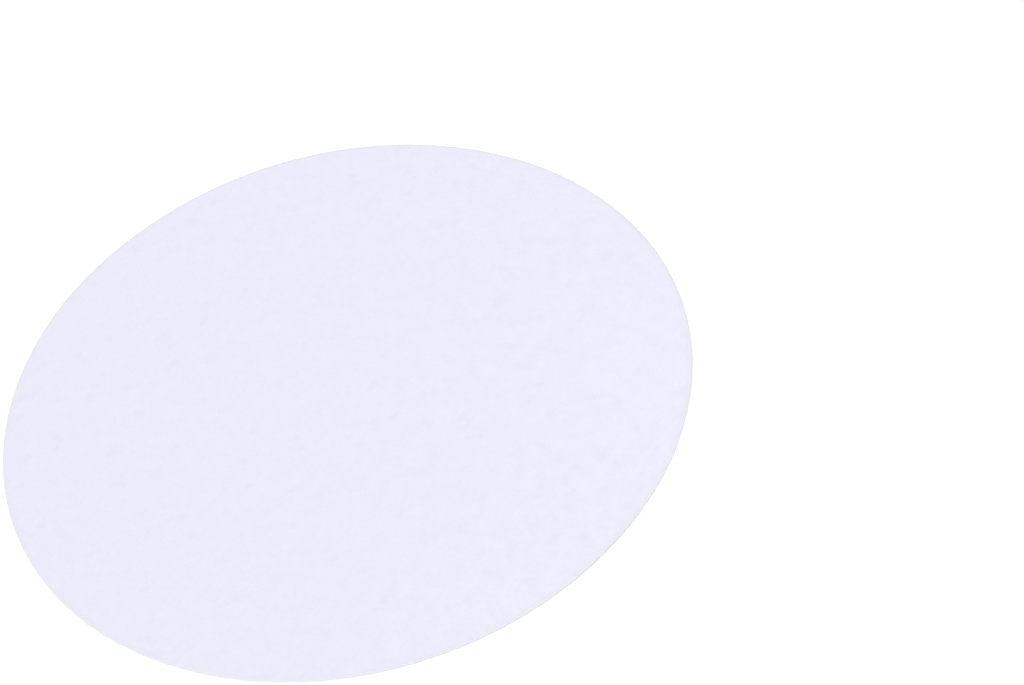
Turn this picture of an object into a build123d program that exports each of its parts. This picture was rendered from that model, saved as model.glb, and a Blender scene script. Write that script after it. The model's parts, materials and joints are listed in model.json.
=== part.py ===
from build123d import *
import os

# Filter paper disc: one thin round sheet that lies flat, its underside on the plane z = 0 and its
# axis on Z. A round die cuts it. The die pulls the upper face down a little before it shears the
# fibres, so the rim has a shallow shoulder that runs out of the upper face into a straight cut wall.

# Driving dimensions in millimetres
disc_diameter = 125.0  # across the cut circle
sheet_thickness = 0.17  # from face to face, away from the rim
shoulder_width = 0.25  # how far in from the cut the upper face starts to fall
shoulder_drop = 0.05  # how far the upper face falls on its way to the cut

# Sizes that follow from them
disc_radius = disc_diameter / 2
shoulder_start = disc_radius - shoulder_width
wall_height = sheet_thickness - shoulder_drop

# The sheet is its half section, from the axis out to the cut, turned once about the axis
with BuildPart() as filter_paper_disc:
    with BuildSketch(Plane.XZ):
        with BuildLine():
            upper_face = Line((0, sheet_thickness), (shoulder_start, sheet_thickness))
            shoulder = TangentArc(upper_face @ 1, (disc_radius, wall_height), tangent=upper_face % 1)
            cut_wall = Line(shoulder @ 1, (disc_radius, 0))
            underside = Line(cut_wall @ 1, (0, 0))
            Line(underside @ 1, upper_face @ 0)
        make_face()
    revolve(axis=Axis.Z)

filter_paper_disc.part.label = "filter_paper_disc"

os.makedirs("parts", exist_ok=True)
export_step(filter_paper_disc.part, "parts/filter_paper_disc.step")
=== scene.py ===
import json
import math

import bpy
import numpy as np
from mathutils import Matrix, Vector


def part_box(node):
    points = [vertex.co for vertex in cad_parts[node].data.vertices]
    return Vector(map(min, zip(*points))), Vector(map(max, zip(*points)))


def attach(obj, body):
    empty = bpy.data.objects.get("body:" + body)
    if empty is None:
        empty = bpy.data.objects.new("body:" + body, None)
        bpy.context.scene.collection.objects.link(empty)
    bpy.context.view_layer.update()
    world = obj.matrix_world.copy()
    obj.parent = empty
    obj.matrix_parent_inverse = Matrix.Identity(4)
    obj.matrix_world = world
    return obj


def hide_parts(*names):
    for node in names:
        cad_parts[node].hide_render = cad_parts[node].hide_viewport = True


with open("model.json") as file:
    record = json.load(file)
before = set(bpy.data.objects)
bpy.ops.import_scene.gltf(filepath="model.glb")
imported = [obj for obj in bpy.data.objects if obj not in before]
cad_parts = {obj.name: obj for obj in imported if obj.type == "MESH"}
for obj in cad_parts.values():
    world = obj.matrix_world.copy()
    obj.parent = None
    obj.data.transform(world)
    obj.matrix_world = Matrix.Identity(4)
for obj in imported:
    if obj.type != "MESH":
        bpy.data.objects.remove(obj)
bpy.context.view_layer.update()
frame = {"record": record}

mm = 0.001

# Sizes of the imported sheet, in metres
low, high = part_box("filter_paper_disc")
thickness = high[2] - low[2]
rimSizes = next(mount["dims"] for mount in frame["record"]["mounts"] if mount["name"] == "rim")
discRadius = rimSizes["r_mm"] * mm
wallHeight = rimSizes["length_mm"] * mm
print(f"sheet of {2 * discRadius / mm:.0f} mm across and {thickness / mm:.2f} mm thick")

# The sheet

paperSheet = {
    "step": 0.75 * mm,  # between rings of points on a face
    "firstRing": 8,  # points on the innermost ring
    "edgeRings": (1.3 * mm, 0.75 * mm),  # two more rings, this far in from the cut, with more points
    "edgeRoom": 0.3 * mm,  # least room between them and the rings before
    "shoulderWidth": 0.25 * mm,  # the upper face starts to fall this far in from the cut
    "shoulderSteps": 4,
    "wallSteps": 3,
    "edgeRipple": 0.025 * mm,  # how far the cut leaves the circle, as a standard deviation
    "edgeWaves": (0.5 * mm, 3.5 * mm),  # shortest and longest ripple of the cut
    "wallRough": 0.007 * mm,  # how far cut fibres leave the wall, as a standard deviation
    "wallWaves": (0.45 * mm, 1.4 * mm),
    "cockleLift": 0.40 * mm,  # the slack rim stands off the table by less than this
    "cockleTurns": (2, 3, 5, 7),  # waves around the rim
    "cockleStrengths": (0.5, 1.0),  # least and most of one such wave
    "cockleStart": 0.45,  # share of the radius where the sheet starts to leave the table
    "flocHeight": 0.005 * mm,  # relief of the fibre flocs, as a standard deviation
    "flocWaves": (2.4 * mm, 7.0 * mm),
    "waveCount": 120,  # plane waves in each ripple and relief
    "sharpAngle": 40.0,  # degrees, past which an edge isn't smoothed
    "cockleSeed": 11,
    "edgeSeed": 12,
    "upperSeed": 13,
    "lowerSeed": 14,
    "wallSeed": 21,  # and one more for each ring
}


def randomWaves(x, y, waves, seed):
    # Sum of plane waves, each with a random heading, phase and wavelength between the two given,
    # scaled so that the standard deviation of the sum is one
    draw = np.random.default_rng(seed)
    count = paperSheet["waveCount"]
    headings = draw.uniform(0, 2 * np.pi, count)
    phases = draw.uniform(0, 2 * np.pi, count)
    lengths = draw.uniform(*waves, count)
    total = np.zeros_like(x)
    for heading, phase, length in zip(headings, phases, lengths):
        total += np.cos(2 * np.pi / length * (x * np.cos(heading) + y * np.sin(heading)) + phase)
    return total * math.sqrt(2 / count)


def cockle(x, y):
    # Lift of the sheet off the table: a few waves around the rim, none below zero, that grow
    # smoothly from the start radius out to the cut
    sheet = paperSheet
    draw = np.random.default_rng(sheet["cockleSeed"])
    turn = np.arctan2(y, x)
    wave = np.zeros_like(x)
    most = 0.0
    for number in sheet["cockleTurns"]:
        strength = draw.uniform(*sheet["cockleStrengths"])
        wave += strength * np.cos(number * turn + draw.uniform(0, 2 * np.pi))
        most += strength
    start = sheet["cockleStart"]
    out = np.clip((np.hypot(x, y) / discRadius - start) / (1 - start), 0, 1)
    return sheet["cockleLift"] * 0.5 * (1 + wave / most) * out**2 * (3 - 2 * out)


def halfSection():
    # Half section, from near the middle of the upper face, out over the cut and back along the
    # underside: the faces in even steps, then an arc that leaves the upper face along its tangent and
    # falls to the top of the wall, and the straight wall. Each place on it is a ring of points, the
    # first ring's number times a power of two, so that they stand no further apart than the rings do
    sheet = paperSheet
    step, first = sheet["step"], sheet["firstRing"]
    edge = discRadius - np.array(sheet["edgeRings"])
    face = np.arange(step, edge[0] - sheet["edgeRoom"], step)
    count = first * 2 ** np.ceil(np.log2(2 * np.pi * face / (first * step))).clip(0).astype(int)
    face = np.append(face, edge)
    count = np.append(count, [2 * count[-1], 4 * count[-1]])

    width = sheet["shoulderWidth"]
    drop = thickness - wallHeight
    arcRadius = (width**2 + drop**2) / (2 * drop)
    bend = np.linspace(0, 2 * math.atan2(drop, width), sheet["shoulderSteps"] + 1)
    shoulder = discRadius - width + arcRadius * np.sin(bend)
    fall = thickness - arcRadius * (1 - np.cos(bend))
    wall = np.linspace(wallHeight, 0, sheet["wallSteps"] + 1)[1:]

    radius = np.concatenate([face, shoulder, np.full_like(wall, discRadius), face[::-1]])
    height = np.concatenate([np.full_like(face, thickness), fall, wall, np.zeros_like(face)])
    cut = np.zeros_like(radius)  # zero on the faces, one on the wall
    cut[len(face):-len(face)] = np.clip((thickness - np.append(fall, wall)) / drop, 0, 1)
    count = np.concatenate([count, np.full(len(fall) + len(wall), count[-1]), count[::-1]])
    return radius, height, cut, count


def joinRings(first, second):
    # Triangles between one ring of points and the next, which has as many, twice as many or half as many
    if len(first) == len(second):
        ahead, far = np.roll(first, -1), np.roll(second, -1)
        corners = [(first, second, far), (first, far, ahead)]
    elif len(first) < len(second):
        near, middle = second[::2], second[1::2]
        ahead, far = np.roll(first, -1), np.roll(near, -1)
        corners = [(first, near, middle), (first, middle, ahead), (ahead, middle, far)]
    else:
        near, middle = first[::2], first[1::2]
        ahead, far = np.roll(near, -1), np.roll(second, -1)
        corners = [(near, second, middle), (middle, second, far), (middle, far, ahead)]
    return np.concatenate([np.stack(three, axis=1) for three in corners])


def paperMesh():
    # The half section turned about the axis. The cut leaves the circle by a ripple that all its rings
    # share, and by a finer one of each ring's own. Every point is lifted by the cockle and moved by
    # the relief of the flocs on its side
    sheet = paperSheet
    radius, height, cut, count = halfSection()
    owner = np.repeat(np.arange(len(count)), count)  # the ring that each point is on
    starts = np.concatenate([[0], np.cumsum(count)])
    turn = 2 * np.pi * (np.arange(len(owner)) - starts[owner]) / count[owner]

    aroundX, aroundY = discRadius * np.cos(turn), discRadius * np.sin(turn)
    ripple = sheet["edgeRipple"] * randomWaves(aroundX, aroundY, sheet["edgeWaves"], sheet["edgeSeed"])
    for ring in np.flatnonzero(cut):
        mine = slice(starts[ring], starts[ring + 1])
        rough = randomWaves(aroundX[mine], aroundY[mine], sheet["wallWaves"], sheet["wallSeed"] + ring)
        ripple[mine] += sheet["wallRough"] * rough
    away = radius[owner] + cut[owner] * ripple
    x = np.concatenate([[0], away * np.cos(turn), [0]])  # with the middle of each face
    y = np.concatenate([[0], away * np.sin(turn), [0]])

    level = np.concatenate([[thickness], height[owner], [0]])
    upper = randomWaves(x, y, sheet["flocWaves"], sheet["upperSeed"])
    lower = randomWaves(x, y, sheet["flocWaves"], sheet["lowerSeed"])
    relief = lower + level / thickness * (upper - lower)
    z = level + cockle(x, y) + sheet["flocHeight"] * relief
    points = np.stack([x, y, z - z.min()], axis=1)  # the lowest point touches the table

    rings = [1 + np.arange(starts[ring], starts[ring + 1]) for ring in range(len(count))]
    last = len(points) - 1
    top, bottom = rings[0], rings[-1]
    faces = [np.stack([np.zeros_like(top), top, np.roll(top, -1)], axis=1)]
    faces += [joinRings(first, second) for first, second in zip(rings[:-1], rings[1:])]
    faces += [np.stack([bottom, np.full_like(bottom, last), np.roll(bottom, -1)], axis=1)]
    return points, np.concatenate(faces), np.concatenate([[0], cut[owner], [0]])


def makePaper():
    points, faces, cutEdge = paperMesh()
    mesh = bpy.data.meshes.new("paper_sheet")
    mesh.from_pydata(points, [], faces)
    mesh.attributes.new("cutEdge", "FLOAT", "POINT").data.foreach_set("value", cutEdge.astype(np.float32))
    mesh.shade_smooth()
    mesh.set_sharp_from_angle(angle=math.radians(paperSheet["sharpAngle"]))
    paper = bpy.data.objects.new("paper_sheet", mesh)
    bpy.context.collection.objects.link(paper)
    mesh.materials.append(paperMaterial())
    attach(paper, "root")
    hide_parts("filter_paper_disc")
    print(f"paper sheet: {len(points)} points, {len(faces)} triangles")


# Nodes

def emptyTree(owner):
    # The node tree of a material or a world, with nothing in it yet
    owner.use_nodes = True
    owner.node_tree.nodes.clear()
    return owner.node_tree


def addNode(tree, kind, inputs, **settings):
    # A node with its settings, each of its inputs linked or set, by name or by place
    node = tree.nodes.new("ShaderNode" + kind)
    for name, value in settings.items():
        setattr(node, name, value)
    for name, value in inputs.items():
        if isinstance(value, bpy.types.NodeSocket):
            tree.links.new(value, node.inputs[name])
        else:
            node.inputs[name].default_value = value
    return node


def addMath(tree, operation, *values):
    return addNode(tree, "Math", dict(enumerate(values)), operation=operation).outputs[0]


def addNoise(tree, place, size, detail):
    # Noise from 0 to 1 with spots of about this size, and this many octaves of finer ones
    return addNode(tree, "TexNoise", {"Vector": place, "Scale": 1 / size, "Detail": detail}).outputs[0]


def addBand(tree, value, band, least=0.0):
    # Smooth rise from the least to one, as the value goes from one end of the band to the other
    inputs = {"Value": value, "From Min": band[0], "From Max": band[1], "To Min": least}
    return addNode(tree, "MapRange", inputs, interpolation_type="SMOOTHSTEP").outputs[0]


def addMix(tree, share, first, second, clamped=True):
    # The first colour, with this share of the second
    inputs = {0: share, 6: first, 7: second}  # the sockets that a mix of colours uses
    return addNode(tree, "Mix", inputs, data_type="RGBA", clamp_factor=clamped).outputs[2]


# The paper's finish

paperFinish = {
    "light": (0.862, 0.861, 0.982, 1),  # fibres that lie on top
    "dark": (0.806, 0.807, 0.934, 1),  # pores between them, darker as painted shade in these hollows, and the darker end of the random tone
    "evenShare": -0.38,  # what the share of the light colour starts from, before those below are added
    "fibreShare": 0.6,
    "toothShare": 1.0,
    "cloudShare": 0.6,
    "fleckShare": 0.22,  # what a fleck takes off
    "toothNoise": (0.22 * mm, 2.0),  # size of its spots, and octaves
    "cloudNoise": (3.0 * mm, 3.0),
    "fleckNoise": (3.6 * mm, 1.5),
    "fleckBand": (0.58, 0.72),  # of the noise, from no fleck to a full one
    "fibreLength": 1.4 * mm,
    "fibreWidth": 0.06 * mm,
    "fibreNoise": (1.0, 1.0),  # size in fibres, and octaves
    "fibreBand": (0.50, 0.68),  # of the noise, from no fibre to a full one
    "fibreHeadings": (8, 41, 69, 103, 137, 164),  # degrees
    "fibreShift": (0.3 * mm, 0.7 * mm),  # for each degree, so that no two headings repeat each other
    "fibreBend": 0.25 * mm,  # how far a fibre strays from its line
    "bendNoise": (1.0 * mm, 1.0),
    "rim": (0.826, 0.826, 0.872, 1),  # painted shade along the edge, greyer towards the cut
    "rimWidth": 1.1 * mm,
    "rimNoise": (5.0 * mm, 2.0),  # patches where the painted edge shade is stronger and weaker
    "rimBand": (0.35, 0.65),
    "rimLeast": 0.3,  # share of the painted edge shade that is left between the patches
    "cutLight": (0.93, 0.93, 0.96, 1),  # sheared fibre ends
    "cutDark": (0.78, 0.78, 0.82, 1),
    "cutNoise": (0.06 * mm, 2.0),
    "poreRoughness": 1.0,
    "fibreRoughness": 0.78,
    "specular": 0.2,
    "bumpHeight": 0.03 * mm,
    "bumpStrength": 0.6,
}


def paperFibres(tree, place):
    # Noise drawn out along several headings, on ground that is bent a little, with the uppermost
    # fibre of all headings at each place
    look = paperFinish
    size, detail = look["bendNoise"]
    bend = addNode(tree, "TexNoise", {"Vector": place, "Scale": 1 / size, "Detail": detail})
    strayed = {0: bend.outputs["Color"], 1: (look["fibreBend"],) * 3, 2: place}
    ground = addNode(tree, "VectorMath", strayed, operation="MULTIPLY_ADD").outputs[0]
    shiftX, shiftY = look["fibreShift"]
    web = None
    for heading in look["fibreHeadings"]:
        lie = {
            "Vector": ground,
            "Location": (shiftX * heading, shiftY * heading, 0),
            "Rotation": (0, 0, math.radians(heading)),
            "Scale": (look["fibreLength"], look["fibreWidth"], 1),
        }
        drawn = addNode(tree, "Mapping", lie, vector_type="TEXTURE").outputs[0]
        strands = addBand(tree, addNoise(tree, drawn, *look["fibreNoise"]), look["fibreBand"])
        web = strands if web is None else addMath(tree, "MAXIMUM", web, strands)
    return web


def paintedRimShade(tree, place):
    # Share of painted edge shade, which grows from the rim's inner side to the cut and comes in patches
    look = paperFinish
    flat = addNode(tree, "VectorMath", {0: place, 1: (1, 1, 0)}, operation="MULTIPLY").outputs[0]
    away = addNode(tree, "VectorMath", {0: flat}, operation="LENGTH").outputs["Value"]
    near = addBand(tree, away, (discRadius - look["rimWidth"], discRadius))
    patches = addBand(tree, addNoise(tree, place, *look["rimNoise"]), look["rimBand"], look["rimLeast"])
    return addMath(tree, "MULTIPLY", near, patches)


def paperMaterial():
    look = paperFinish
    material = bpy.data.materials.new("filter_paper")
    tree = emptyTree(material)
    place = addNode(tree, "TexCoord", {}).outputs["Object"]

    # Felt of fibres with a fine tooth, lighter where it stands high and darker in its pores as painted
    # shade, then the cloudy lie of its flocs and faint flecks where it is thin
    tooth = addNoise(tree, place, *look["toothNoise"])
    cloud = addNoise(tree, place, *look["cloudNoise"])
    fleck = addBand(tree, addNoise(tree, place, *look["fleckNoise"]), look["fleckBand"])
    felt = addMath(tree, "MULTIPLY_ADD", paperFibres(tree, place), look["fibreShare"], look["evenShare"])
    felt = addMath(tree, "MULTIPLY_ADD", tooth, look["toothShare"], felt)
    shade = addMath(tree, "MULTIPLY_ADD", cloud, look["cloudShare"], felt)
    shade = addMath(tree, "MULTIPLY_ADD", fleck, -look["fleckShare"], shade)
    colour = addMix(tree, shade, look["dark"], look["light"], clamped=False)

    # Painted shade along the rim, and sheared fibre ends on the cut
    colour = addMix(tree, paintedRimShade(tree, place), colour, look["rim"])
    ends = addMix(tree, addNoise(tree, place, *look["cutNoise"]), look["cutDark"], look["cutLight"])
    cut = addNode(tree, "Attribute", {}, attribute_name="cutEdge").outputs["Fac"]
    colour = addMix(tree, cut, colour, ends)

    # Fibres that lie on top are a little smoother than the pores, and stand out from them
    smoothing = {
        "Value": felt,
        "From Min": look["evenShare"],
        "From Max": look["evenShare"] + look["fibreShare"] + look["toothShare"],
        "To Min": look["poreRoughness"],
        "To Max": look["fibreRoughness"],
    }
    rough = addNode(tree, "MapRange", smoothing)
    relief = {"Height": felt, "Strength": look["bumpStrength"], "Distance": look["bumpHeight"]}
    bump = addNode(tree, "Bump", relief)
    surface = {
        "Base Color": colour,
        "Roughness": rough.outputs[0],
        "Specular IOR Level": look["specular"],
        "Normal": bump.outputs[0],
    }
    shader = addNode(tree, "BsdfPrincipled", surface)
    addNode(tree, "OutputMaterial", {"Surface": shader.outputs[0]})
    print(f"paper finish: {len(tree.nodes)} nodes")
    return material


makePaper()

# The table

table = {
    "size": 1.3,  # metres
    "below": 0.02 * mm,  # under the lowest point of the sheet
    "colour": (0.88, 0.88, 0.88, 1),  # what the table sends back to the sheet
    "seen": (0.44, 0.44, 0.44, 1),  # what a shadow can take from it, as the camera sees it
    "glow": 0.68,  # what the camera still sees in full shadow
}


def seenPlainly(tree):
    # One for rays that come straight from the camera or off gloss and glass, zero for those that light
    path = addNode(tree, "LightPath", {}).outputs
    share = addMath(tree, "MAXIMUM", path["Is Camera Ray"], path["Is Glossy Ray"])
    return addMath(tree, "MAXIMUM", share, path["Is Transmission Ray"])


def makeTable():
    # Pale to the light that it sends back to the sheet, and white to the camera but for the shadow
    half = table["size"] / 2
    corners = [(x * half, y * half, -table["below"]) for x, y in ((-1, -1), (1, -1), (1, 1), (-1, 1))]
    mesh = bpy.data.meshes.new("table")
    mesh.from_pydata(corners, [], [(0, 1, 2, 3)])
    top = bpy.data.objects.new("table", mesh)
    bpy.context.collection.objects.link(top)
    material = bpy.data.materials.new("white_table")
    tree = emptyTree(material)
    lighting = addNode(tree, "BsdfDiffuse", {"Color": table["colour"]})
    seen = addNode(tree, "BsdfDiffuse", {"Color": table["seen"]})
    glow = addNode(tree, "Emission", {"Strength": table["glow"]})
    shown = addNode(tree, "AddShader", {0: seen.outputs[0], 1: glow.outputs[0]})
    mix = addNode(tree, "MixShader", {0: seenPlainly(tree), 1: lighting.outputs[0], 2: shown.outputs[0]})
    addNode(tree, "OutputMaterial", {"Surface": mix.outputs[0]})
    mesh.materials.append(material)


makeTable()
print("table is laid")

# Light and camera

lights = {
    "keyStrength": 0.31,  # share of the light that comes from the left and the front
    "keyFrom": (-0.60, -0.42, 0.90),
    "keySoftness": 24.0,  # degrees across
    "boxPower": 3.75,  # watts
    "boxSize": 0.9,  # metres
    "boxPlace": (0.30, -0.20, 1.0),
    "roomStrength": 0.45,
    "backdropStrength": 1.0,  # white, where the camera sees past the table
}


def makeLights():
    # A soft key light, a large box above the sheet, and the even light of a white room
    key = bpy.data.lights.new("key", "SUN")
    key.angle = math.radians(lights["keySoftness"])
    toKey = Vector(lights["keyFrom"]).normalized()
    key.energy = lights["keyStrength"] * math.pi / toKey.z
    box = bpy.data.lights.new("box", "AREA")
    box.energy = lights["boxPower"]
    box.size = lights["boxSize"]
    for light, place in ((key, lights["keyFrom"]), (box, lights["boxPlace"])):
        lamp = bpy.data.objects.new(light.name, light)
        lamp.location = place
        lamp.rotation_euler = (-lamp.location).to_track_quat("-Z", "Y").to_euler()
        bpy.context.collection.objects.link(lamp)

    world = bpy.data.worlds.new("studio")
    tree = emptyTree(world)
    white = (1, 1, 1, 1)
    room = addNode(tree, "Background", {"Color": white, "Strength": lights["roomStrength"]})
    backdrop = addNode(tree, "Background", {"Color": white, "Strength": lights["backdropStrength"]})
    mix = addNode(tree, "MixShader", {0: seenPlainly(tree), 1: room.outputs[0], 2: backdrop.outputs[0]})
    addNode(tree, "OutputWorld", {"Surface": mix.outputs[0]})
    bpy.context.scene.world = world


camera = {
    "lens": 85.0,  # mm, on a 36 mm sensor
    "nearest": 5.0 * mm,  # what is closer to the lens isn't seen
    "distance": 432.7 * mm,  # from the lens to the point that it looks at
    "elevation": 46.97,  # degrees above the sheet
    "roll": -13.47,  # degrees that it is turned anticlockwise, seen from behind
    "aim": (31.2 * mm, 1.5 * mm, 0.0),  # that point
}


def makeCamera():
    # Set back from the aim along its own axis, which is tilted up from the sheet and then rolled
    lens = bpy.data.cameras.new("camera")
    lens.lens = camera["lens"]
    lens.clip_start = camera["nearest"]
    eye = bpy.data.objects.new("camera", lens)
    tilt = Matrix.Rotation(math.radians(90 - camera["elevation"]), 4, "X")
    roll = Matrix.Rotation(math.radians(camera["roll"]), 4, "Z")
    back = Matrix.Translation((0, 0, camera["distance"]))
    eye.matrix_world = Matrix.Translation(camera["aim"]) @ tilt @ roll @ back
    bpy.context.collection.objects.link(eye)
    bpy.context.scene.camera = eye


makeLights()
makeCamera()
bpy.context.scene.view_settings.view_transform = "Standard"
print("light and camera are set")
